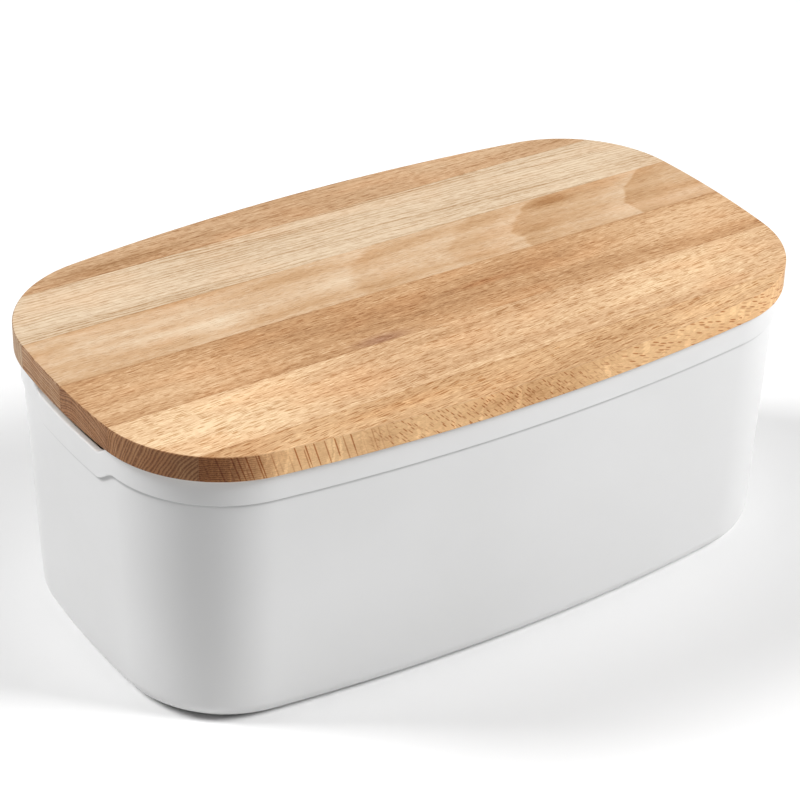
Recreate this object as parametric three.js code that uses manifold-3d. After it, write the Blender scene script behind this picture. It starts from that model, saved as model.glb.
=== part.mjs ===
// A bread bin: a moulded melamine box, open at the top, and a loose lid that is an edge-glued beech
// board. The lid doubles as a cutting board. Every outline is the same rounded rectangle with bowed
// sides, drawn in by an inset. Millimetres, +Z up, +X along the length, -Y the front.
// The origin is the middle of the footprint, on the surface that the box stands on.
import * as THREE from "three";
import { mergeVertices } from "three/addons/utils/BufferGeometryUtils.js";
import Module from "manifold-3d";

// Plan outline of the lid, which all insets are measured from
const LENGTH = 345;
const WIDTH = 197;
const SIDE_RADIUS = 905; // the bow of the two long sides
const END_RADIUS = 450; // the bow of the two ends
const CORNER_RADIUS = 58.5;
const CORNER_STEPS = 12;
const SIDE_STEPS = 10;

// Box
const BOX_HEIGHT = 126;
const WALL = 2; // thickness of the leaning wall
const FLOOR = 3;
const BAND_INSET = 2.4; // outer face of the raised band under the rim
const BAND_HEIGHT = 12.7;
const BAND_STEP = 1; // how far the band stands out from the wall
const BASE_INSET = 7; // the wall leans in to this at the foot of its straight part
const BASE_RADIUS = 9; // rounding between wall and underside
const INNER_RADIUS = 10; // rounding between wall and floor inside
const FILLET_STEPS = 4;
const RIM_ROUND = 0.9;
const FOOT_WIDTH = 9; // flat ring that the box stands on
const FOOT_RECESS = 0.8;

// Finger notches: the rim and its band dip in the middle of each end
const NOTCH_DEPTH = 7;
const NOTCH_HALF_FLAT = 25; // half the width of the level bottom
const NOTCH_RISE_WIDTH = 14; // width of each S-shaped rise
const NOTCH_RISE_STEPS = 7;
const NOTCH_FLAT_STEPS = 2;

// Lid
const SEAT_GAP = 0.1; // between the rim and the board resting on it
const LID_TOP = 138;
const LID_EDGE_ROUND = 0.6;
const STEP_DEPTH = 3; // locating step under the board, inside the rim
const STEP_CLEARANCE = 2.1; // play between the step and the inner wall
const STAVE_WIDTH = 38.05;
const MIDDLE_JOINT_Y = -1.4; // the board's middle glue joint
const JOINTS = [-2, -1, 0, 1, 2];
const GLUE_LINE = 0.1;

const NOTCH_HALF_WIDTH = NOTCH_HALF_FLAT + NOTCH_RISE_WIDTH;
const BAND_BOTTOM = BOX_HEIGHT - BAND_HEIGHT;
const WALL_TOP_INSET = BAND_INSET + BAND_STEP;
const INNER_TOP_INSET = WALL_TOP_INSET + WALL;
const INNER_BASE_INSET = BASE_INSET + WALL;
const STEP_INSET = INNER_TOP_INSET + STEP_CLEARANCE;
const LID_UNDERSIDE = BOX_HEIGHT + SEAT_GAP;

// Materials, one function for each look
const melamine = () => new THREE.MeshStandardMaterial({ color: 0xeceded, roughness: 0.42, metalness: 0 });
const beech = (color) => new THREE.MeshStandardMaterial({ color, roughness: 0.6, metalness: 0 });

// Front to back: each stave's own shade of beech
const STAVE_COLORS = [0xd6a670, 0xe0b586, 0xc89b6c, 0xe3c39a, 0xe8cda6, 0xd3aa7c];

// The point where a corner arc's centre lies: at one known distance from the centre of the side arc
// and at another from the centre of the end arc.
function cornerCentre() {
  const side = new THREE.Vector2(0, WIDTH / 2 - SIDE_RADIUS);
  const end = new THREE.Vector2(LENGTH / 2 - END_RADIUS, 0);
  const fromSide = SIDE_RADIUS - CORNER_RADIUS;
  const fromEnd = END_RADIUS - CORNER_RADIUS;
  const gap = end.clone().sub(side);
  const distance = gap.length();
  const along = (fromSide ** 2 - fromEnd ** 2 + distance ** 2) / (2 * distance);
  const across = Math.sqrt(fromSide ** 2 - along ** 2);
  const unit = gap.divideScalar(distance);
  return new THREE.Vector2(
    side.x + unit.x * along + unit.y * across,
    side.y + unit.y * along - unit.x * across,
  );
}

// Stations round a quarter of the outline, from the middle of the +X end to the middle of the +Y side.
// A station is a point of the outline with its outward normal, so an inset moves it along the normal.
function quarterStations() {
  const corner = cornerCentre();
  const endCentreX = LENGTH / 2 - END_RADIUS;
  const sideCentreY = WIDTH / 2 - SIDE_RADIUS;
  const endAngle = Math.atan2(corner.y, corner.x - endCentreX);
  const sideAngle = Math.atan2(corner.y - sideCentreY, corner.x);
  const at = (cx, cy, radius, angle) => ({
    x: cx + radius * Math.cos(angle),
    y: cy + radius * Math.sin(angle),
    nx: Math.cos(angle),
    ny: Math.sin(angle),
  });
  // The point at a height y near the end: on the end arc, or just past it on the corner arc
  const cornerStartY = END_RADIUS * Math.sin(endAngle);
  const atY = (y) =>
    y < cornerStartY
      ? at(endCentreX, 0, END_RADIUS, Math.asin(y / END_RADIUS))
      : at(corner.x, corner.y, CORNER_RADIUS, Math.asin((y - corner.y) / CORNER_RADIUS));
  const stations = [];
  for (let i = 0; i < NOTCH_FLAT_STEPS; i++) {
    stations.push(atY((NOTCH_HALF_FLAT * i) / NOTCH_FLAT_STEPS));
  }
  for (let i = 0; i < NOTCH_RISE_STEPS; i++) {
    stations.push(atY(NOTCH_HALF_FLAT + (NOTCH_RISE_WIDTH * i) / NOTCH_RISE_STEPS));
  }
  const notchEndAngle = Math.asin((NOTCH_HALF_WIDTH - corner.y) / CORNER_RADIUS);
  for (let i = 0; i <= CORNER_STEPS; i++) {
    const angle = notchEndAngle + ((sideAngle - notchEndAngle) * i) / CORNER_STEPS;
    stations.push(at(corner.x, corner.y, CORNER_RADIUS, angle));
  }
  for (let i = 1; i <= SIDE_STEPS / 2; i++) {
    const angle = sideAngle + ((Math.PI / 2 - sideAngle) * i) / (SIDE_STEPS / 2);
    stations.push(at(0, sideCentreY, SIDE_RADIUS, angle));
  }
  return stations;
}

// The whole outline, anticlockwise, each point once
function outlineStations() {
  const first = quarterStations();
  const mirrorX = ({ x, y, nx, ny }) => ({ x: -x, y, nx: -nx, ny });
  const mirrorY = ({ x, y, nx, ny }) => ({ x, y: -y, nx, ny: -ny });
  const second = first.slice(0, -1).reverse().map(mirrorX);
  const upper = [...first, ...second];
  const lower = upper.slice(1, -1).reverse().map(mirrorY);
  return [...upper, ...lower];
}

const STATIONS = outlineStations();

// How far the rim dips at a station: level in the middle of an end, then an S-shaped rise to nothing
function notchDrop({ y }) {
  const rise = THREE.MathUtils.smoothstep(Math.abs(y), NOTCH_HALF_FLAT, NOTCH_HALF_WIDTH);
  return NOTCH_DEPTH * (1 - rise);
}

// The flat triangles that close a ring, as rungs straight across from the +X half to the -X half
function capTriangles(firstVertex, facesUp) {
  const count = STATIONS.length;
  const triangles = [];
  for (const side of [1, -1]) {
    for (let k = 0; k < count / 4; k++) {
      const right = (k * side + count) % count;
      const rightNext = ((k + 1) * side + count) % count;
      const left = (count / 2 - k * side + count) % count;
      const leftNext = (count / 2 - (k + 1) * side + count) % count;
      triangles.push(side > 0 ? [right, rightNext, left] : [right, left, rightNext]);
      if (rightNext !== leftNext) {
        triangles.push(side > 0 ? [rightNext, leftNext, left] : [rightNext, left, leftNext]);
      }
    }
  }
  const turned = facesUp ? triangles : triangles.map(([a, b, c]) => [a, c, b]);
  return turned.flat().map((i) => firstVertex + i);
}

// A closed solid from rings that all follow the outline. Each ring gives an inset and a height for a
// station. The first ring is closed facing down and the last one facing up.
function loft(rings) {
  const count = STATIONS.length;
  const positions = [];
  const index = [];
  for (const ring of rings) {
    for (const station of STATIONS) {
      const { inset, z } = ring(station);
      positions.push(station.x - inset * station.nx, station.y - inset * station.ny, z);
    }
  }
  for (let r = 0; r + 1 < rings.length; r++) {
    for (let i = 0; i < count; i++) {
      const j = (i + 1) % count;
      const [a, b] = [r * count + i, r * count + j];
      index.push(a, b, b + count, a, b + count, a + count);
    }
  }
  index.push(...capTriangles(0, false), ...capTriangles((rings.length - 1) * count, true));
  const geometry = new THREE.BufferGeometry();
  geometry.setAttribute("position", new THREE.Float32BufferAttribute(positions, 3));
  geometry.setIndex(index);
  geometry.computeVertexNormals();
  return geometry;
}

const level = (inset, z) => () => ({ inset, z });

// Insets of the leaning wall at a height, outside and inside
const { mapLinear } = THREE.MathUtils;
const outerInset = (z) => mapLinear(z, BASE_RADIUS, BAND_BOTTOM, BASE_INSET, WALL_TOP_INSET);
const innerInset = (z) => mapLinear(z, FLOOR + INNER_RADIUS, BOX_HEIGHT, INNER_BASE_INSET, INNER_TOP_INSET);

// The box: up the outside from its underside, over the rim, and down the inside to its floor
function boxGeometry() {
  const footOuter = BASE_INSET + BASE_RADIUS;
  const footInner = footOuter + FOOT_WIDTH;
  const rings = [level(footInner + FOOT_RECESS, FOOT_RECESS), level(footInner, 0)];
  for (let i = 0; i <= FILLET_STEPS; i++) {
    const angle = ((Math.PI / 2) * i) / FILLET_STEPS;
    rings.push(
      level(
        BASE_INSET + BASE_RADIUS * (1 - Math.sin(angle)),
        BASE_RADIUS * (1 - Math.cos(angle)),
      ),
    );
  }
  const bandFoot = (station) => BAND_BOTTOM - notchDrop(station);
  const rimTop = (station) => BOX_HEIGHT - notchDrop(station);
  rings.push((s) => ({ inset: outerInset(bandFoot(s)), z: bandFoot(s) }));
  rings.push((s) => ({ inset: BAND_INSET, z: bandFoot(s) }));
  rings.push((s) => ({ inset: BAND_INSET, z: rimTop(s) - RIM_ROUND }));
  rings.push((s) => ({ inset: BAND_INSET + RIM_ROUND, z: rimTop(s) }));
  rings.push((s) => ({ inset: innerInset(rimTop(s)) - RIM_ROUND, z: rimTop(s) }));
  rings.push((s) => ({ inset: innerInset(rimTop(s) - RIM_ROUND), z: rimTop(s) - RIM_ROUND }));
  for (let i = FILLET_STEPS; i >= 0; i--) {
    const angle = ((Math.PI / 2) * i) / FILLET_STEPS;
    rings.push(
      level(
        INNER_BASE_INSET + INNER_RADIUS * (1 - Math.sin(angle)),
        FLOOR + INNER_RADIUS * (1 - Math.cos(angle)),
      ),
    );
  }
  return loft(rings);
}

// The whole board before it is parted into staves: the locating step, the underside and the edge
function boardGeometry() {
  return loft([
    level(STEP_INSET, LID_UNDERSIDE - STEP_DEPTH),
    level(STEP_INSET, LID_UNDERSIDE),
    level(LID_EDGE_ROUND, LID_UNDERSIDE),
    level(0, LID_UNDERSIDE + LID_EDGE_ROUND),
    level(0, LID_TOP - LID_EDGE_ROUND),
    level(LID_EDGE_ROUND, LID_TOP),
  ]);
}

const wasm = await Module();
wasm.setup();

function toSolid(geometry) {
  const bare = geometry.clone();
  bare.deleteAttribute("normal");
  bare.deleteAttribute("uv");
  const merged = mergeVertices(bare);
  const vertProperties = new Float32Array(merged.attributes.position.array);
  const triVerts = new Uint32Array(merged.index.array);
  return new wasm.Manifold(new wasm.Mesh({ numProp: 3, vertProperties, triVerts }));
}

function toGeometry(solid) {
  const { vertProperties, triVerts } = solid.getMesh();
  const geometry = new THREE.BufferGeometry();
  geometry.setAttribute("position", new THREE.BufferAttribute(vertProperties, 3));
  geometry.setIndex(new THREE.BufferAttribute(triVerts, 1));
  geometry.computeVertexNormals();
  return geometry;
}

// The straight strip of timber between two glue joints, longer and thicker than the board
function stripGeometry(lowY, highY) {
  const margin = 10;
  const strip = new THREE.BoxGeometry(LENGTH + 2 * margin, highY - lowY, LID_TOP);
  return strip.translate(0, (lowY + highY) / 2, BOX_HEIGHT);
}

const breadBin = new THREE.Group();

function addMesh(name, geometry, material) {
  const mesh = new THREE.Mesh(geometry, material);
  mesh.name = name;
  breadBin.add(mesh);
}

addMesh("box", boxGeometry(), melamine());

// Staves are numbered from the front edge to the back edge
const board = toSolid(boardGeometry());
const jointYs = JOINTS.map((step) => MIDDLE_JOINT_Y + step * STAVE_WIDTH);
const staveEdges = [-WIDTH, ...jointYs, WIDTH];
STAVE_COLORS.forEach((color, i) => {
  const strip = stripGeometry(staveEdges[i] + GLUE_LINE / 2, staveEdges[i + 1] - GLUE_LINE / 2);
  addMesh(`lid_stave_${i + 1}`, toGeometry(board.intersect(toSolid(strip))), beech(color));
});

export default breadBin;
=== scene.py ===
"""Looks of the bread bin: a satin white melamine box and a lid glued up from six beech staves.

Metres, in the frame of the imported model: +X along the length, -Y the front, +Z up.
"""

import math
from collections import namedtuple
from types import SimpleNamespace

import bmesh
import bpy
from mathutils import Matrix, Vector


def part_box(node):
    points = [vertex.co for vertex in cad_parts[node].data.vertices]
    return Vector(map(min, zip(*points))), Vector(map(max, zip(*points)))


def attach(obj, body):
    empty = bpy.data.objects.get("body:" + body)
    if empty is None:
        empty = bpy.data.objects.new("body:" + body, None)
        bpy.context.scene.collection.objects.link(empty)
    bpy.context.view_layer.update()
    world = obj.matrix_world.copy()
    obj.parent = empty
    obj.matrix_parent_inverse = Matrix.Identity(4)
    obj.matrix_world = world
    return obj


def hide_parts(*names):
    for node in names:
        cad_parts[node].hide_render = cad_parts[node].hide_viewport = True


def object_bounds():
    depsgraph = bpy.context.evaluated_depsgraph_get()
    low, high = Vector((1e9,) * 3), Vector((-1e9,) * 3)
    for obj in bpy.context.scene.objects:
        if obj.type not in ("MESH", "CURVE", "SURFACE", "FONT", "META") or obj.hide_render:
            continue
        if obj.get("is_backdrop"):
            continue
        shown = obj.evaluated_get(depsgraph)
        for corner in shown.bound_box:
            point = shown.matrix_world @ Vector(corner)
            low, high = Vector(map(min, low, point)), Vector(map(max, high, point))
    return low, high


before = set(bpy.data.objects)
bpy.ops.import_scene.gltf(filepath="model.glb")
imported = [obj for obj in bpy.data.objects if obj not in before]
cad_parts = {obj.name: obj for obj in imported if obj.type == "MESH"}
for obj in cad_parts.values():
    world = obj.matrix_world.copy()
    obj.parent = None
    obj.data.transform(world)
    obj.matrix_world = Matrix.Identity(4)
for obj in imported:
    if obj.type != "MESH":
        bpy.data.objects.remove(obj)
CAD_LOW, CAD_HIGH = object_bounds()

MM = 0.001

# ---------------------------------------------------------------- sizes

LENGTH = CAD_HIGH.x - CAD_LOW.x
WIDTH = CAD_HIGH.y - CAD_LOW.y
SIDE_RADIUS = 905 * MM  # bow of the long sides
END_RADIUS = 450 * MM  # bow of the ends
CORNER_RADIUS = 58.5 * MM

BOX_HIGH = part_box("box")[1]
BOX_HEIGHT = BOX_HIGH.z
BAND_INSET = LENGTH / 2 - BOX_HIGH.x
BAND_HEIGHT = 12.7 * MM
BAND_STEP = 1.0 * MM
BAND_EDGE_ROUND = 0.25 * MM
BAND_CREASE_ROUND = 0.15 * MM
WALL = 2.0 * MM
FLOOR = 3 * MM
BASE_INSET = 7 * MM
BASE_RADIUS = 9 * MM
INNER_RADIUS = 10 * MM
RIM_ROUND = 0.9 * MM
FOOT_WIDTH = 9 * MM
FOOT_RECESS = 0.8 * MM
NOTCH_DEPTH = 7 * MM
NOTCH_HALF_FLAT = 25 * MM
NOTCH_RISE_WIDTH = 14 * MM

STAVES = [f"lid_stave_{i}" for i in range(1, 7)]
LID_LOW_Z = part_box(STAVES[2])[0].z
LID_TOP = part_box(STAVES[2])[1].z
STEP_DEPTH = 3 * MM
STEP_INSET = 7.5 * MM
STEP_ROUND = 0.5 * MM
LID_EDGE_ROUND = 0.6 * MM
LID_UNDERSIDE = LID_LOW_Z + STEP_DEPTH
SEAM_GAP = 0.02 * MM  # what is left open between two staves

NOTCH_HALF_WIDTH = NOTCH_HALF_FLAT + NOTCH_RISE_WIDTH
BAND_BOTTOM = BOX_HEIGHT - BAND_HEIGHT
WALL_TOP_INSET = BAND_INSET + BAND_STEP
INNER_TOP_INSET = WALL_TOP_INSET + WALL
INNER_BASE_INSET = BASE_INSET + WALL

# How finely the outline and the rounds are divided
NOTCH_FLAT_STEPS = 8
NOTCH_RISE_STEPS = 24
CORNER_STEPS = 36
SIDE_STEPS = 24
BASE_STEPS = 14
BAND_STEPS = 5
RIM_STEPS = 7
INNER_STEPS = 12
STEP_STEPS = 4
LID_EDGE_STEPS = 6

# Rings of the flank inside the foot, inward and upward from the foot's inner edge, in recesses
FOOT_FLANK = ((3, 1), (1.3, 1), (1, 0.8), (0.4, 0.15), (0, 0))
# Rings on the straight walls, as shares of the way along them
OUTER_WALL_SHARES = (0.04, 0.2, 0.4, 0.6, 0.8, 0.93)
INNER_WALL_SHARES = (0.03, 0.25, 0.5, 0.75, 0.97)
# How far from a round or corner the ring lies that keeps the flat beside it flat
FOOT_GUARD = 1 * MM
WALL_TOP_GUARD = 3 * BAND_CREASE_ROUND
CREASE_GUARD = 1.6 * BAND_CREASE_ROUND
BAND_LOW_GUARD = 3 * BAND_EDGE_ROUND
BAND_HIGH_GUARD = 2 * RIM_ROUND
FLOOR_GUARD = 2 * MM
STEP_UNDER_GUARD = 3 * STEP_ROUND
STEP_WALL_GUARD = 0.2 * MM
STEP_LEDGE_GUARD = 0.3 * MM
LID_FLAT_GUARD = 3 * LID_EDGE_ROUND
LID_WALL_GUARD = 2 * LID_EDGE_ROUND

SHARP_EDGE = 40  # degrees between faces above which an edge is shaded sharp
CUT_TOLERANCE = 1e-7

# ---------------------------------------------------------------- outline


def corner_centre():
    side = Vector((0, WIDTH / 2 - SIDE_RADIUS))
    end = Vector((LENGTH / 2 - END_RADIUS, 0))
    from_side = SIDE_RADIUS - CORNER_RADIUS
    from_end = END_RADIUS - CORNER_RADIUS
    gap = end - side
    along = (from_side**2 - from_end**2 + gap.length**2) / (2 * gap.length)
    across = math.sqrt(from_side**2 - along**2)
    unit = gap.normalized()
    return Vector(
        (side.x + unit.x * along + unit.y * across, side.y + unit.y * along - unit.x * across)
    )


def station(cx, cy, radius, angle):
    nx, ny = math.cos(angle), math.sin(angle)
    return (cx + radius * nx, cy + radius * ny, nx, ny)


def quarter():
    """Points and outward normals from the middle of the +X end to the middle of the +Y side."""
    corner = corner_centre()
    end_x = LENGTH / 2 - END_RADIUS
    side_y = WIDTH / 2 - SIDE_RADIUS
    end_angle = math.atan2(corner.y, corner.x - end_x)
    side_angle = math.atan2(corner.y - side_y, corner.x)
    corner_start_y = END_RADIUS * math.sin(end_angle)

    def at_y(y):
        if y < corner_start_y:
            return station(end_x, 0, END_RADIUS, math.asin(y / END_RADIUS))
        return station(
            corner.x, corner.y, CORNER_RADIUS, math.asin((y - corner.y) / CORNER_RADIUS)
        )

    out = [at_y(NOTCH_HALF_FLAT * i / NOTCH_FLAT_STEPS) for i in range(NOTCH_FLAT_STEPS)]
    out += [
        at_y(NOTCH_HALF_FLAT + NOTCH_RISE_WIDTH * i / NOTCH_RISE_STEPS)
        for i in range(NOTCH_RISE_STEPS)
    ]
    start = math.asin((NOTCH_HALF_WIDTH - corner.y) / CORNER_RADIUS)
    for i in range(CORNER_STEPS + 1):
        angle = start + (side_angle - start) * i / CORNER_STEPS
        out.append(station(corner.x, corner.y, CORNER_RADIUS, angle))
    for i in range(1, SIDE_STEPS + 1):
        angle = side_angle + (math.pi / 2 - side_angle) * i / SIDE_STEPS
        out.append(station(0, side_y, SIDE_RADIUS, angle))
    return out


def outline():
    first = quarter()
    second = [(-x, y, -nx, ny) for x, y, nx, ny in reversed(first[:-1])]
    upper = first + second
    lower = [(x, -y, nx, -ny) for x, y, nx, ny in reversed(upper[1:-1])]
    return upper + lower


STATIONS = outline()


def notch_drop(y):
    t = min(max((abs(y) - NOTCH_HALF_FLAT) / NOTCH_RISE_WIDTH, 0), 1)
    return NOTCH_DEPTH * (1 - t * t * (3 - 2 * t))


# ---------------------------------------------------------------- meshes


def loft(bm, rings):
    """Rings of (inset, height) as functions of y, closed at both ends by a flat face."""
    rows = []
    for ring in rings:
        row = []
        for x, y, nx, ny in STATIONS:
            inset, z = ring(y)
            row.append(bm.verts.new((x - inset * nx, y - inset * ny, z)))
        rows.append(row)
    count = len(STATIONS)
    for low, high in zip(rows, rows[1:]):
        for i in range(count):
            j = (i + 1) % count
            bm.faces.new((low[i], low[j], high[j], high[i]))
    bm.faces.new(list(reversed(rows[0])))
    bm.faces.new(rows[-1])


def lerp(a, b, t):
    return a + (b - a) * t


def outer_inset(z):
    return lerp(BASE_INSET, WALL_TOP_INSET, (z - BASE_RADIUS) / (BAND_BOTTOM - BASE_RADIUS))


def inner_inset(z):
    low = FLOOR + INNER_RADIUS
    return lerp(INNER_BASE_INSET, INNER_TOP_INSET, (z - low) / (BOX_HEIGHT - low))


def arc(steps, start, end):
    """(cos, sin) pairs from one angle to another, in degrees."""
    for i in range(steps + 1):
        angle = math.radians(lerp(start, end, i / steps))
        yield math.cos(angle), math.sin(angle)


def level(inset, z):
    """A ring at one inset and one height."""
    return lambda y: (inset, z)


def on_wall(inset_at, height):
    """A ring on a leaning wall, at a height that is a function of y."""
    return lambda y: (inset_at(height(y)), height(y))


def beside(inset, height, across, up):
    """A ring set off across and up from a line whose inset and height are functions of y."""
    return lambda y: (inset(y) + across, height(y) + up)


# The lines that follow the band and its notches, as functions of y


def band_face(y):
    return BAND_INSET


def band_foot(y):
    return BAND_BOTTOM - notch_drop(y)


def rim_top(y):
    return BOX_HEIGHT - notch_drop(y)


def wall_at_band(y):
    return outer_inset(band_foot(y))


def inner_wall_top(y):
    return inner_inset(rim_top(y))


def foot_rings():
    outer = BASE_INSET + BASE_RADIUS
    inner = outer + FOOT_WIDTH
    rings = [level(inner + across * FOOT_RECESS, up * FOOT_RECESS) for across, up in FOOT_FLANK]
    rings.append(level(outer + FOOT_GUARD, 0))
    for c, s in arc(BASE_STEPS, -90, 0):
        rings.append(level(BASE_INSET + BASE_RADIUS * (1 - c), BASE_RADIUS * (1 + s)))
    return rings


def outer_wall_rings():
    """The straight wall, up to the crease under the band."""
    rings = []
    for share in OUTER_WALL_SHARES:
        rings.append(
            on_wall(outer_inset, lambda y, t=share: lerp(BASE_RADIUS, band_foot(y) - WALL_TOP_GUARD, t))
        )
    rings.append(on_wall(outer_inset, lambda y: band_foot(y) - CREASE_GUARD))
    r = BAND_CREASE_ROUND
    for c, s in arc(BAND_STEPS, 0, 90):
        rings.append(beside(wall_at_band, band_foot, -r * (1 - c), -r * (1 - s)))
    return rings


def band_rings():
    """The face of the band and the round of the rim."""
    rings = []
    e = BAND_EDGE_ROUND
    for c, s in arc(BAND_STEPS, -90, 0):
        rings.append(beside(band_face, band_foot, e * (1 - c), e * (1 + s)))
    rings.append(beside(band_face, band_foot, 0, BAND_LOW_GUARD))
    rings.append(beside(band_face, rim_top, 0, -BAND_HIGH_GUARD))
    r = RIM_ROUND
    for c, s in arc(RIM_STEPS, 0, 90):
        rings.append(beside(band_face, rim_top, r * (1 - c), -r * (1 - s)))
    for c, s in arc(RIM_STEPS, 90, 180):
        rings.append(beside(inner_wall_top, rim_top, -r * (1 + c), -r * (1 - s)))
    return rings


def inside_rings():
    low = FLOOR + INNER_RADIUS
    rings = []
    for share in INNER_WALL_SHARES:
        rings.append(on_wall(inner_inset, lambda y, t=share: lerp(rim_top(y) - RIM_ROUND, low, t)))
    for c, s in arc(INNER_STEPS, 0, -90):
        rings.append(level(INNER_BASE_INSET + INNER_RADIUS * (1 - c), FLOOR + INNER_RADIUS * (1 + s)))
    rings.append(level(INNER_BASE_INSET + INNER_RADIUS + FLOOR_GUARD, FLOOR))
    return rings


def board_rings():
    rings = [level(STEP_INSET + STEP_UNDER_GUARD, LID_LOW_Z)]
    for c, s in arc(STEP_STEPS, -90, 0):
        rings.append(level(STEP_INSET + STEP_ROUND * (1 - c), LID_LOW_Z + STEP_ROUND * (1 + s)))
    rings.append(level(STEP_INSET, LID_UNDERSIDE - STEP_WALL_GUARD))
    rings.append(level(STEP_INSET, LID_UNDERSIDE))
    rings.append(level(STEP_INSET - STEP_LEDGE_GUARD, LID_UNDERSIDE))
    rings.append(level(LID_FLAT_GUARD, LID_UNDERSIDE))
    e = LID_EDGE_ROUND
    for c, s in arc(LID_EDGE_STEPS, -90, 0):
        rings.append(level(e * (1 - c), LID_UNDERSIDE + e * (1 + s)))
    rings.append(level(0, LID_UNDERSIDE + LID_WALL_GUARD))
    rings.append(level(0, LID_TOP - LID_WALL_GUARD))
    for c, s in arc(LID_EDGE_STEPS, 0, 90):
        rings.append(level(e * (1 - c), LID_TOP - e * (1 - s)))
    rings.append(level(LID_FLAT_GUARD, LID_TOP))
    return rings


def finish_mesh(bm, name, body, node):
    bmesh.ops.recalc_face_normals(bm, faces=bm.faces)
    mesh = bpy.data.meshes.new(name)
    bm.to_mesh(mesh)
    bm.free()
    mesh.shade_smooth()
    mesh.set_sharp_from_angle(angle=math.radians(SHARP_EDGE))
    obj = bpy.data.objects.new(name, mesh)
    bpy.context.scene.collection.objects.link(obj)
    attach(obj, body)
    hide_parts(node)
    return obj


def make_box():
    bm = bmesh.new()
    loft(bm, foot_rings() + outer_wall_rings() + band_rings() + inside_rings())
    return finish_mesh(bm, "melamine_box", "box", "box")


def make_stave(number):
    """The whole board cut down to one stave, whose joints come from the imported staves' boxes."""
    node = STAVES[number - 1]
    low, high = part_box(node)
    bm = bmesh.new()
    loft(bm, board_rings())
    cuts = []
    if number > 1:
        low_joint = (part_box(STAVES[number - 2])[1].y + low.y) / 2
        cuts.append((low_joint + SEAM_GAP / 2, -1))
    if number < len(STAVES):
        high_joint = (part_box(STAVES[number])[0].y + high.y) / 2
        cuts.append((high_joint - SEAM_GAP / 2, 1))
    for y, side in cuts:
        cut = bmesh.ops.bisect_plane(
            bm,
            geom=bm.verts[:] + bm.edges[:] + bm.faces[:],
            dist=CUT_TOLERANCE,
            plane_co=(0, y, 0),
            plane_no=(0, side, 0),
            clear_outer=True,
        )
        rim = [g for g in cut["geom_cut"] if isinstance(g, bmesh.types.BMEdge)]
        bmesh.ops.contextual_create(bm, geom=rim)
    return finish_mesh(bm, f"beech_stave_{number}", "lid", node)


# ---------------------------------------------------------------- node trees


class Nodes:
    """Short calls for building a node tree."""

    def __init__(self, name):
        self.material = bpy.data.materials.new(name)
        self.material.use_nodes = True
        self.tree = self.material.node_tree
        self.tree.nodes.clear()
        self.output = self.add("ShaderNodeOutputMaterial")
        self.shader = self.add("ShaderNodeBsdfPrincipled")
        self.tree.links.new(self.shader.outputs[0], self.output.inputs[0])

    def add(self, kind, **settings):
        node = self.tree.nodes.new(kind)
        for key, value in settings.items():
            setattr(node, key, value)
        return node

    def put(self, socket, value):
        if isinstance(value, bpy.types.NodeSocket):
            self.tree.links.new(value, socket)
        elif value is not None:
            socket.default_value = value

    def math(self, operation, a, b=None):
        node = self.add("ShaderNodeMath", operation=operation)
        for socket, value in zip(node.inputs, (a, b)):
            self.put(socket, value)
        return node.outputs[0]

    def plus(self, a, b):
        return self.math("ADD", a, b)

    def minus(self, a, b):
        return self.math("SUBTRACT", a, b)

    def times(self, a, b):
        return self.math("MULTIPLY", a, b)

    def over(self, a, b):
        return self.math("DIVIDE", a, b)

    def centred(self, noise, gain):
        """A noise of 0 to 1 as a gain either side of zero."""
        return self.times(self.minus(noise, 0.5), gain)

    def ramp(self, value, low, high, out_low=0.0, out_high=1.0, smooth=True):
        node = self.add("ShaderNodeMapRange")
        node.interpolation_type = "SMOOTHSTEP" if smooth else "LINEAR"
        for socket, v in zip(node.inputs, (value, low, high, out_low, out_high)):
            self.put(socket, v)
        return node.outputs[0]

    def vector(self, operation, a, b=None, scale=None):
        node = self.add("ShaderNodeVectorMath", operation=operation)
        self.put(node.inputs[0], a)
        if b is not None:
            self.put(node.inputs[1], b)
        if scale is not None:
            self.put(node.inputs["Scale"], scale)
        return node.outputs[1 if operation in ("LENGTH", "DOT_PRODUCT") else 0]

    def combine(self, x, y, z):
        node = self.add("ShaderNodeCombineXYZ")
        for socket, value in zip(node.inputs, (x, y, z)):
            self.put(socket, value)
        return node.outputs[0]

    def separate(self, vector):
        node = self.add("ShaderNodeSeparateXYZ")
        self.put(node.inputs[0], vector)
        return node.outputs[:3]

    def position(self):
        return self.add("ShaderNodeTexCoord").outputs["Object"]

    def normal(self):
        return self.add("ShaderNodeNewGeometry").outputs["Normal"]

    def noise(self, vector, scale=1.0, detail=2.0, roughness=0.5, colour=False):
        node = self.add("ShaderNodeTexNoise")
        self.put(node.inputs["Vector"], vector)
        node.inputs["Scale"].default_value = scale
        node.inputs["Detail"].default_value = detail
        node.inputs["Roughness"].default_value = roughness
        return node.outputs["Color" if colour else "Fac"]

    def mix(self, factor, a, b, blend="MIX"):
        node = self.add("ShaderNodeMix", data_type="RGBA", blend_type=blend)
        self.put(node.inputs[0], factor)
        for socket, value in ((node.inputs[6], a), (node.inputs[7], b)):
            if isinstance(value, tuple) and len(value) == 3:
                value = (*value, 1.0)
            self.put(socket, value)
        return node.outputs[2]

    def tinted(self, factor, colour, tint):
        """The colour multiplied by a tint, as far as the factor says."""
        return self.mix(factor, colour, self.mix(1.0, colour, tint, "MULTIPLY"))

    def bump(self, height, distance, strength):
        node = self.add("ShaderNodeBump")
        node.inputs["Strength"].default_value = strength
        node.inputs["Distance"].default_value = distance
        self.put(node.inputs["Height"], height)
        return node.outputs[0]


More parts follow.
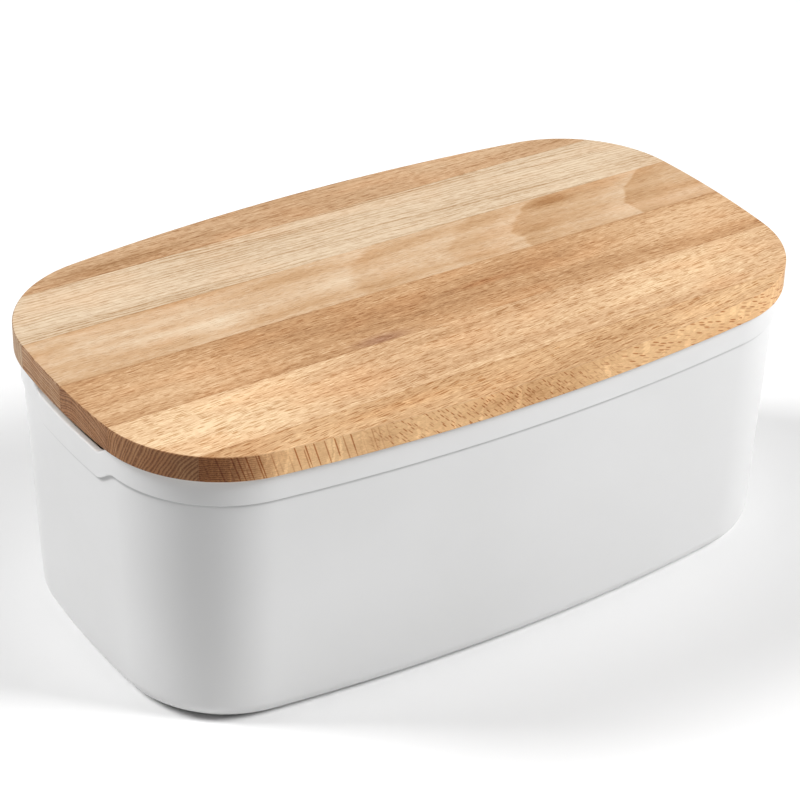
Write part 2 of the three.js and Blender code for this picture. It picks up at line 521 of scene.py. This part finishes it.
def srgb(r, g, b):
    """An sRGB colour of 0 to 255 as linear values."""
    return tuple(
        (c / 255) / 12.92 if c <= 10.31 else ((c / 255 + 0.055) / 1.055) ** 2.4 for c in (r, g, b)
    )


# ---------------------------------------------------------------- melamine

MELAMINE_DULL = (0.638, 0.638, 0.636)
MELAMINE_BRIGHT = (0.663, 0.663, 0.663)
MELAMINE_SPECK = (0.54, 0.54, 0.53)
SPECK_STRENGTH = 0.10
MELAMINE_ROUGHNESS = (0.34, 0.42)
MELAMINE_BUMP = 0.012 * MM
MELAMINE_IOR = 1.5

PAINTED_CREASE_SHADE = (0.48, 0.48, 0.48)  # painted shade on the wall just under the band, where the band's ledge shades it
CREASE_START = 0.8  # mm below the band, which hides what is nearer
CREASE_END = 2.1
CREASE_REACH = 0.7  # mm lower on the ends


def crease(n, mm):
    """Where shade is painted: 1 on the outside of the wall just under the band, which dips with the
    notch, else 0.
    """
    _, y, z = n.separate(mm)
    half_flat = NOTCH_HALF_FLAT / MM
    half_width = NOTCH_HALF_WIDTH / MM
    dip = n.ramp(n.math("ABSOLUTE", y), half_flat, half_width, NOTCH_DEPTH / MM, 0.0)
    below = n.minus(n.minus(BAND_BOTTOM / MM, dip), z)
    normal = n.normal()
    lower = n.ramp(n.math("ABSOLUTE", n.separate(normal)[0]), 0.8, 1.0, 0.0, CREASE_REACH)
    near = n.ramp(n.minus(below, lower), CREASE_END, CREASE_START)
    near = n.times(near, n.ramp(below, 0.0, 0.05))
    outward = n.vector("DOT_PRODUCT", normal, n.vector("MULTIPLY", mm, (1.0, 1.0, 0.0)))
    return n.times(near, n.ramp(outward, 0.0, 1.0))


def melamine():
    n = Nodes("melamine_satin_white")
    mm = n.vector("SCALE", n.position(), scale=1 / MM)
    cloud = n.noise(mm, scale=0.012, detail=3)
    speck = n.noise(mm, scale=0.9, detail=3, roughness=0.65)
    tone = n.mix(n.ramp(cloud, 0.3, 0.7), MELAMINE_DULL, MELAMINE_BRIGHT)
    tone = n.mix(n.ramp(speck, 0.66, 0.8, 0, SPECK_STRENGTH), tone, MELAMINE_SPECK)
    # painted shade on the wall just under the band
    tone = n.mix(crease(n, mm), tone, PAINTED_CREASE_SHADE)
    n.put(n.shader.inputs["Base Color"], tone)
    gloss = n.noise(mm, scale=0.05, detail=4)
    n.put(n.shader.inputs["Roughness"], n.ramp(gloss, 0.3, 0.7, *MELAMINE_ROUGHNESS))
    fine = n.noise(mm, scale=1.6, detail=2, roughness=0.6)
    n.put(n.shader.inputs["Normal"], n.bump(fine, MELAMINE_BUMP, 0.5))
    n.shader.inputs["IOR"].default_value = MELAMINE_IOR
    return n.material


# ---------------------------------------------------------------- beech

# Shades of beech as the lit top of the lid shows them, from the palest grain to the darkest. They were
# set from tones measured on each stave of the reference, and most lie within 4 of one.
SHADES = {
    "golden": ((246, 204, 156), (233, 190, 144), (221, 177, 131), (206, 160, 114), (178, 128, 80)),
    "peach": ((255, 219, 175), (242, 202, 158), (230, 188, 145), (214, 170, 126), (190, 142, 96)),
    "brown": ((232, 190, 146), (218, 173, 128), (205, 159, 115), (188, 141, 99), (162, 114, 73)),
    "pale": ((244, 217, 184), (234, 201, 165), (223, 184, 143), (208, 165, 121), (186, 138, 92)),
    "cream": ((247, 224, 193), (239, 214, 183), (229, 202, 169), (213, 180, 143), (190, 150, 109)),
    "tan": ((230, 194, 155), (221, 182, 143), (211, 171, 131), (196, 154, 113), (174, 130, 88)),
}
DYE = 0.73  # turns a shade as seen into the wood's own colour; the light and the sheen give the rest

DASH_TINT = (0.60, 0.43, 0.27)  # dark strokes of the rays and pores
FLECK_TINT = (0.56, 0.33, 0.17)  # rays cut end-on along the front edge
FRONT_TINT = (1.19, 1.18, 1.10)  # the front edge takes up less oil than the top
BLUSH_TINT = (1.03, 0.95, 0.89)
END_TINT = (0.45, 0.295, 0.185)  # what the oil leaves of the colour where it soaks into end grain
END_LINE_TINT = (0.52, 0.42, 0.36)
END_RING = 1.35  # mm between the lines on the end grain
FRONT_END_RING = 0.95  # the same on the front stave, whose lines lie level
FRONT_END_WAVE = 0.8

# Each stave, front to back. pith is where the tree's middle lay, across and up, in mm from the
# middle of the stave's top. ring is the mean width of a year and slope how the fibres climb in plan.
# seed sets a stave's noises apart from the others'. base is the mean tone, line how much the years
# show on the top and dash how dark the strokes are. grain is the strength of the fine and medium
# grain and the pale strokes, and length how far the medium grain runs along the fibres, in mm. end
# is how much oil the end grain takes up. patches are soft spots of tone: middle x and y, reach along
# x and y, and how far the tone moves. Patches, stains and the figure lie as on the reference.
BEECH = [
    dict(
        shades="golden", pith=(240, -8), ring=3.6, slope=0.12, seed=3.0,
        base=0.40, line=0.10, dash=1.0, grain=1.0, length=5.0, end=1.0,
        patches=[(-105, 2, 34, 30, -0.14), (105, 4, 60, 30, -0.24), (0, -4, 60, 12, 0.08)],
    ),
    dict(
        shades="peach", pith=(-80, -52), ring=2.3, slope=0.07, seed=11.0,
        base=0.42, line=0.06, dash=0.90, grain=0.9, length=5.0, end=0.88,
        patches=[(-120, 0, 80, 34, -0.36), (115, 0, 70, 30, -0.26), (0, 14, 90, 14, 0.12)],
    ),
    dict(
        shades="brown", pith=(10, -40), ring=2.1, slope=0.03, seed=23.0,
        base=0.44, line=0.08, dash=0.80, grain=0.95, length=5.0, end=0.69,
        patches=[(-130, -4, 80, 34, -0.40), (150, 0, 100, 34, -0.45), (-35, 4, 40, 14, 0.14)],
    ),
    dict(
        shades="pale", pith=(10, -170), ring=2.6, slope=0.0, seed=37.0,
        base=0.46, line=0.03, dash=0.40, grain=0.45, length=5.0, end=0.50,
        patches=[
            (-91, -9, 22, 15, -0.32), (-110, 2, 60, 26, -0.26), (-42, 15, 34, 6, 0.24),
            (99, 13, 17, 7, 0.34), (79, -6, 15, 5, 0.26), (-145, 8, 16, 12, -0.15),
        ],
    ),
    dict(
        shades="cream", pith=(-190, 4), ring=2.1, slope=-0.03, seed=51.0,
        base=0.45, line=0.55, dash=0.45, grain=0.7, length=9.0, end=0.37,
        patches=[(-90, -15, 110, 8, 0.25), (-110, 0, 60, 30, -0.14), (120, 4, 60, 26, -0.16)],
    ),
    dict(
        shades="tan", pith=(-130, -70), ring=2.6, slope=0.01, seed=67.0,
        base=0.42, line=0.28, dash=0.75, grain=0.9, length=9.0, end=0.37,
        patches=[(-100, -6, 70, 14, 0.20), (60, 4, 60, 12, -0.12), (-140, -4, 30, 20, -0.2)],
    ),
]
FRONT_STAVE = 1

# Stains: stave, middle x and y in mm from the middle of the stave, reach along x and y, and tint
STAINS = [
    (3, -38, -16.5, 22, 6.5, (0.76, 0.70, 0.80)),
    (3, 28, 3, 22, 4, (0.98, 0.86, 0.78)),
    (1, -60, 2, 50, 6, (1.0, 0.93, 0.86)),
]

# Stave 4 has a figure that crosses the grain: each entry is where an edge meets the front side of
# the stave, in mm along x, how strong it is, and how softly it starts.
FIGURE_STAVE = 4
FIGURE = [(-22, 0.14, 4.0), (31, 0.09, 4.0), (66, 0.16, 1.6), (129, 0.20, 1.2)]
FIGURE_FADE = 36.0  # mm over which an edge fades away
FIGURE_BEND = 25.0  # mm that an edge leans along the stave
FIGURE_BEND_POWER = 1.5
FIGURE_HALF_WIDTH = 19.0
FIGURE_WAVE = 9.0
FIGURE_PALE = -1.1  # the pale band before an edge, against the dark one after it

# Noises of the wood. A scale is per mm, along the fibres and across them, and a gain is in tone.
WANDER_SCALE = (0.02, 0.05, 0.05)
WANDER_SWING = 5.0  # mm from one side to the other
FINE_SCALE = (0.45, 1.9)
FINE_GAIN = 1.1
MEDIUM_SCALE = 1.3
MEDIUM_GAIN = 0.35
STREAK_SCALE = (0.008, 0.12)
STREAK_GAIN = 1.0
PALE_GAIN = -0.45
LINE_BALANCE = -0.3  # keeps the mean tone where the lines of the years darken it
JOINT_SHADE = 0.22
JOINT_REACH = 0.7
SIDE_CALM = 0.8  # contrast of the tone on the sides of the board, against 1 on its top
RING_UNEVENNESS = 2.5
END_UNEVENNESS = 4.0

# Strokes of rays and pores: cell and half are the size of a cell and the half size of a stroke,
# along and across, in mm. A cell's strength is drawn from 0 to 1, and counts from least up.
Strokes = namedtuple("Strokes", "cell half least")
LONG_STROKES = Strokes((10.0, 2.0), (4.2, 0.34), 0.30)
SHORT_STROKES = Strokes((5.2, 0.90), (2.7, 0.27), 0.0)
PALE_STROKES = Strokes((5.2, 0.95), (2.8, 0.29), 0.0)
LYING_FLECKS = Strokes((5.4, 1.7), (2.7, 0.42), 0.0)
LEANING_FLECKS = Strokes((5.4, 2.0), (2.8, 0.46), 0.0)
UPRIGHT_FLECKS = Strokes((22.0, 2.2), (14.0, 0.40), 0.0)
STROKE_CORE = 0.55  # share of a stroke's half size that is at full strength
STROKE_WAVE = 0.6
SHORT_SHIFT = 50.0  # mm across, which puts the kinds of stroke in different places
PALE_SHIFT = 90.0

BEECH_ROUGHNESS = (0.60, 0.72)
BEECH_SPECULAR = 0.25
BEECH_BUMP = 0.10 * MM


def shade_ramp(n, value, shades):
    """The shades from 0 to 1, with one paler shade before them for the lightest spots."""
    palest = tuple(2 * first - second for first, second in zip(shades[0], shades[1]))
    share = 1 / (len(shades) - 1)
    value = n.over(n.plus(value, share), 1 + share)
    shades = (palest, *shades)
    ramp = n.add("ShaderNodeValToRGB")
    stops = ramp.color_ramp.elements
    while len(stops) < len(shades):
        stops.new(0.5)
    for i, (stop, shade) in enumerate(zip(stops, shades)):
        stop.position = i / (len(shades) - 1)
        stop.color = (*[c * DYE for c in srgb(*shade)], 1.0)
    n.put(ramp.inputs[0], value)
    return ramp.outputs[0]


def figure(n, mm):
    """Tone steps whose edges run across the stave and lean along it towards its back side."""
    x, y, _ = n.separate(mm)
    rise = n.ramp(y, -FIGURE_HALF_WIDTH * 0.3, FIGURE_HALF_WIDTH, smooth=False)
    bend = n.times(n.math("POWER", rise, FIGURE_BEND_POWER), FIGURE_BEND)
    wave = n.noise(n.vector("MULTIPLY", mm, (0.05, 0.12, 0.12)), detail=2)
    along = n.plus(n.minus(x, bend), n.centred(wave, FIGURE_WAVE))
    out = []
    for start, strength, softness in FIGURE:
        past = n.minus(along, start)
        dark = n.times(n.ramp(past, -softness, softness), n.ramp(past, FIGURE_FADE, 0.0))
        pale = n.times(n.ramp(past, -FIGURE_FADE * 0.7, 0.0), n.ramp(past, softness, -softness))
        out += [n.times(dark, strength), n.times(pale, FIGURE_PALE * strength)]
    return out


def strokes(n, along, across, kind):
    """Separate short strokes in the plane of along and across, one to a cell."""
    cells = n.add("ShaderNodeTexVoronoi", voronoi_dimensions="2D", feature="F1")
    cells.inputs["Scale"].default_value = 1.0
    place = n.combine(n.over(along, kind.cell[0]), n.over(across, kind.cell[1]), 0.0)
    n.put(cells.inputs["Vector"], place)
    offset = n.vector("SUBTRACT", cells.outputs["Position"], place)
    stretch = (kind.cell[0] / kind.half[0], kind.cell[1] / kind.half[1], 0.0)
    away = n.vector("LENGTH", n.vector("MULTIPLY", offset, stretch))
    strength = n.ramp(n.separate(cells.outputs["Color"])[0], kind.least, 1.0)
    return n.times(n.ramp(away, 1.0, STROKE_CORE), strength)


def reach(n, mm, x, y, along, across):
    """Falls from 1 at a place on the top to 0 at its reach."""
    offset = n.vector("DIVIDE", n.vector("SUBTRACT", mm, (x, y, 0.0)), (along, across, 1e3))
    return n.ramp(n.vector("LENGTH", offset), 1.0, 0.0)


def stave_place(n, middle_y):
    """The place in mm from the middle of the stave's top."""
    place = n.add("ShaderNodeMapping")
    n.put(place.inputs["Vector"], n.position())
    place.inputs["Location"].default_value = (0.0, -middle_y / MM, -LID_TOP / MM)
    place.inputs["Scale"].default_value = (1 / MM, 1 / MM, 1 / MM)
    return place.outputs[0]


def fibres(n, mm, look):
    """Places along and across the fibres in mm, and the noises that follow them."""
    f = SimpleNamespace()
    shift = look["seed"] * 100
    own = n.vector("ADD", mm, (shift, 0.0, 0.0))
    f.wander = n.noise(n.vector("MULTIPLY", own, WANDER_SCALE), detail=2, colour=True)
    sway = n.vector("SUBTRACT", f.wander, (0.5, 0.5, 0.5))
    sway = n.vector("MULTIPLY", sway, (0.0, WANDER_SWING, WANDER_SWING))
    f.x, y, f.z = n.separate(n.vector("ADD", own, sway))
    f.y = n.minus(y, n.times(n.minus(f.x, shift), look["slope"]))

    def stretched(along, across):
        return n.combine(n.times(f.x, along), n.times(f.y, across), n.times(f.z, across))

    f.fine = n.noise(stretched(*FINE_SCALE), detail=2, roughness=0.65)
    f.streak = n.noise(stretched(*STREAK_SCALE), detail=1, roughness=0.4)
    f.medium = n.noise(
        n.combine(n.over(f.x, look["length"]), n.times(f.y, MEDIUM_SCALE), n.times(f.z, MEDIUM_SCALE)),
        detail=0,
    )
    return f


def growth_rings(n, f, look):
    """Adds to the fibres their distance from the pith and the late wood of each year."""
    across = n.minus(f.y, look["pith"][0])
    up = n.minus(f.z, look["pith"][1])
    f.radius = n.vector("LENGTH", n.combine(0.0, across, up))
    f.uneven = n.noise(n.combine(n.times(f.radius, 0.2), look["seed"], 0.0), detail=2)
    # a slow rise through the year and a sharp end, stronger in some years
    year = n.plus(n.over(f.radius, look["ring"]), n.times(f.uneven, RING_UNEVENNESS))
    phase = n.math("FRACT", year)
    late = n.times(n.ramp(phase, 0.25, 0.8), n.ramp(phase, 1.0, 0.88))
    some = n.noise(n.combine(n.times(f.x, 0.012), n.math("FLOOR", year), look["seed"]), detail=1)
    f.late = n.times(late, n.ramp(some, 0.3, 0.65, 0.25, 1.0))


def ray_strokes(n, f):
    """Adds to the fibres the strokes of the rays and pores, some dark and some pale."""
    wavy = n.plus(f.y, n.times(f.medium, STROKE_WAVE))
    long = strokes(n, f.x, wavy, LONG_STROKES)
    short = strokes(n, f.x, n.plus(wavy, SHORT_SHIFT), SHORT_STROKES)
    f.dark_strokes = n.math("MAXIMUM", long, short)
    f.pale_strokes = strokes(n, f.x, n.plus(wavy, PALE_SHIFT), PALE_STROKES)


def wood_tone(n, mm, f, look, number, half_width, flat):
    """The tone from 0, palest, to 1, darkest."""
    from_middle = n.math("ABSOLUTE", n.separate(mm)[1])
    terms = [
        n.centred(f.fine, FINE_GAIN * look["grain"]),
        n.centred(f.medium, MEDIUM_GAIN * look["grain"]),
        n.times(f.pale_strokes, PALE_GAIN * look["grain"]),
        n.centred(f.streak, STREAK_GAIN),
        n.times(f.late, look["line"]),
        n.ramp(from_middle, half_width - JOINT_REACH, half_width, 0.0, JOINT_SHADE),
    ]
    for x, y, along, across, amount in look["patches"]:
        terms.append(n.times(reach(n, mm, x, y, along, across), amount))
    if number == FIGURE_STAVE:
        terms += figure(n, mm)
    total = LINE_BALANCE * look["line"]
    for term in terms:
        total = n.plus(total, term)
    calm = n.ramp(flat, 0.0, 1.0, SIDE_CALM, 1.0, smooth=False)
    return n.plus(n.times(total, calm), look["base"])


def front_flecks(n, mm, normal, colour):
    """Rays cut end-on: lying flecks on the right of the front edge, leaning, then upright ones."""
    x, _, z = n.separate(mm)
    side = n.ramp(n.math("ABSOLUTE", normal[2]), 0.8, 0.4)
    colour = n.tinted(side, colour, FRONT_TINT)
    lying = strokes(n, n.plus(x, n.times(z, -0.4)), n.plus(z, n.times(x, 0.35)), LYING_FLECKS)
    leaning = strokes(n, n.minus(x, z), n.plus(x, z), LEANING_FLECKS)
    upright = strokes(n, z, n.plus(x, n.times(z, 0.3)), UPRIGHT_FLECKS)
    to_lying = n.ramp(x, 10.0, 60.0)
    to_leaning = n.ramp(x, -95.0, -60.0)
    flecks = n.plus(
        n.times(leaning, n.minus(to_leaning, to_lying)),
        n.plus(n.times(lying, to_lying), n.times(upright, n.minus(1.0, to_leaning))),
    )
    return n.tinted(n.times(flecks, side), colour, FLECK_TINT)


def end_grain(n, mm, f, look, number, normal, colour):
    """End grain drinks the oil and darkens, and there the years show as lines. The +X end darkens less,
    which is painted light.
    """
    left_end = n.ramp(n.times(normal[0], -1.0), 0.02, 0.56)
    # the +X end gets only 0.4 of the darkening: painted light where the right softbox falls on it
    right_end_painted_lighter = n.ramp(normal[0], 0.3, 0.95, 0.0, 0.4)
    end = n.math("MAXIMUM", left_end, right_end_painted_lighter)
    colour = n.tinted(n.times(end, look["end"]), colour, END_TINT)
    if number == FRONT_STAVE:
        level_z = n.plus(n.separate(mm)[2], n.times(f.medium, FRONT_END_WAVE))
        phase = n.math("FRACT", n.over(level_z, FRONT_END_RING))
    else:
        year = n.plus(n.over(f.radius, END_RING), n.centred(f.uneven, END_UNEVENNESS))
        phase = n.math("FRACT", year)
    line = n.times(n.ramp(phase, 0.25, 0.6), n.ramp(phase, 1.0, 0.85))
    broken = n.times(end, n.ramp(f.fine, 0.35, 0.5, 0.45, 1.0))
    return n.tinted(n.times(line, broken), colour, END_LINE_TINT)


def beech(number, middle_y, half_width):
    look = BEECH[number - 1]
    n = Nodes(f"beech_{number}")
    mm = stave_place(n, middle_y)
    normal = n.separate(n.normal())
    flat = n.ramp(n.math("ABSOLUTE", normal[2]), 0.5, 0.95)
    f = fibres(n, mm, look)
    growth_rings(n, f, look)
    ray_strokes(n, f)

    tone = wood_tone(n, mm, f, look, number, half_width, flat)
    colour = shade_ramp(n, tone, SHADES[look["shades"]])
    blush = n.ramp(n.separate(f.wander)[1], 0.45, 0.75, 0.0, 0.8)
    colour = n.tinted(blush, colour, BLUSH_TINT)
    for stave, x, y, along, across, tint in STAINS:
        if stave == number:
            colour = n.tinted(reach(n, mm, x, y, along, across), colour, tint)
    dashes = n.times(n.times(f.dark_strokes, look["dash"]), flat)
    colour = n.tinted(dashes, colour, DASH_TINT)
    if number == FRONT_STAVE:
        colour = front_flecks(n, mm, normal, colour)
    colour = end_grain(n, mm, f, look, number, normal, colour)

    n.put(n.shader.inputs["Base Color"], colour)
    n.put(n.shader.inputs["Roughness"], n.ramp(f.medium, 0.3, 0.7, *BEECH_ROUGHNESS))
    n.shader.inputs["Specular IOR Level"].default_value = BEECH_SPECULAR
    height = n.plus(n.times(f.dark_strokes, -0.8), n.times(f.fine, -0.5))
    n.put(n.shader.inputs["Normal"], n.bump(height, BEECH_BUMP, 0.7))
    return n.material


# ---------------------------------------------------------------- build

box = make_box()
box.data.materials.append(melamine())
for number in range(1, len(STAVES) + 1):
    stave = make_stave(number)
    low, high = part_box(STAVES[number - 1])
    stave.data.materials.append(beech(number, (low.y + high.y) / 2, (high.y - low.y) / 2 / MM))

# ---------------------------------------------------------------- studio

scene = bpy.context.scene

FLOOR_SIZE = 12.0
FLOOR_CELLS = 8
FLOOR_PALE = (0.86, 0.86, 0.86)
FLOOR_FAR = (0.52, 0.52, 0.52)  # the far floor is greyer and throws less light up at the walls
FLOOR_PALE_REACH = 0.45  # metres from the middle, where the floor starts to turn greyer
FLOOR_FAR_REACH = 1.2
FLOOR_ROUGHNESS = 0.9
FLOOR_SPECULAR = 0.1
WORLD_STRENGTH = 0.02
SOFTBOX_DISTANCE = 4.0
SOFTBOX_WIDTH = 1.4
SOFTBOX_HEIGHT = 2.0


def pale_floor():
    n = Nodes("studio_floor_pale")
    distance = n.vector("LENGTH", n.position())
    fade = n.ramp(distance, FLOOR_PALE_REACH, FLOOR_FAR_REACH)
    n.put(n.shader.inputs["Base Color"], n.mix(fade, FLOOR_PALE, FLOOR_FAR))
    n.shader.inputs["Roughness"].default_value = FLOOR_ROUGHNESS
    n.shader.inputs["Specular IOR Level"].default_value = FLOOR_SPECULAR
    return n.material


def make_floor():
    bm = bmesh.new()
    bmesh.ops.create_grid(bm, x_segments=FLOOR_CELLS, y_segments=FLOOR_CELLS, size=FLOOR_SIZE / 2)
    mesh = bpy.data.meshes.new("studio_floor")
    bm.to_mesh(mesh)
    bm.free()
    mesh.materials.append(pale_floor())
    floor = bpy.data.objects.new("studio_floor", mesh)
    scene.collection.objects.link(floor)
    floor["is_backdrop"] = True


def make_world():
    world = bpy.data.worlds.new("studio_world")
    world.use_nodes = True
    background = world.node_tree.nodes["Background"]
    background.inputs["Color"].default_value = (1, 1, 1, 1)
    background.inputs["Strength"].default_value = WORLD_STRENGTH
    scene.world = world
    scene.view_settings.view_transform = "Standard"


def direction(azimuth, elevation):
    """The way from the bin to what stands at an azimuth from its front and an elevation."""
    a = math.radians(azimuth)
    e = math.radians(elevation)
    return Vector((math.sin(a) * math.cos(e), -math.cos(a) * math.cos(e), math.sin(e)))


def softbox(name, azimuth, elevation, power):
    """A rectangular light that looks at the middle of the bin."""
    data = bpy.data.lights.new(name, "AREA")
    data.shape = "RECTANGLE"
    data.size = SOFTBOX_WIDTH
    data.size_y = SOFTBOX_HEIGHT
    data.energy = power
    light = bpy.data.objects.new(name, data)
    back = direction(azimuth, elevation)
    light.location = Vector((0, 0, BOX_HEIGHT / 2)) + back * SOFTBOX_DISTANCE
    light.rotation_mode = "QUATERNION"
    light.rotation_quaternion = (-back).to_track_quat("-Z", "Y")
    scene.collection.objects.link(light)


make_floor()
make_world()
softbox("softbox_left", azimuth=-130, elevation=42, power=171)
softbox("softbox_right", azimuth=50, elevation=37, power=188)

# ---------------------------------------------------------------- camera

# Fitted to the edges of the bin in the reference view
AZIMUTH = -33.6356
ELEVATION = 31.4171
ROLL = math.radians(1.2768)
DISTANCE = 1.231996
AIM = Vector((7.783 * MM, 16.921 * MM, 65 * MM))
FOCAL_WIDTHS = 3.33441  # focal length over the picture's width
SENSOR = 36.0


def make_camera():
    back = direction(AZIMUTH, ELEVATION)
    right = (-back).cross(Vector((0, 0, 1))).normalized()
    up = right.cross(-back)
    rolled_right = right * math.cos(ROLL) + up * math.sin(ROLL)
    rolled_up = up * math.cos(ROLL) - right * math.sin(ROLL)
    data = bpy.data.cameras.new("camera")
    data.sensor_width = SENSOR
    data.lens = SENSOR * FOCAL_WIDTHS
    camera = bpy.data.objects.new("camera", data)
    turn = Matrix((rolled_right, rolled_up, back)).transposed().to_4x4()
    camera.matrix_world = Matrix.Translation(AIM + back * DISTANCE) @ turn
    scene.collection.objects.link(camera)
    return camera


scene.camera = make_camera()

low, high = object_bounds()
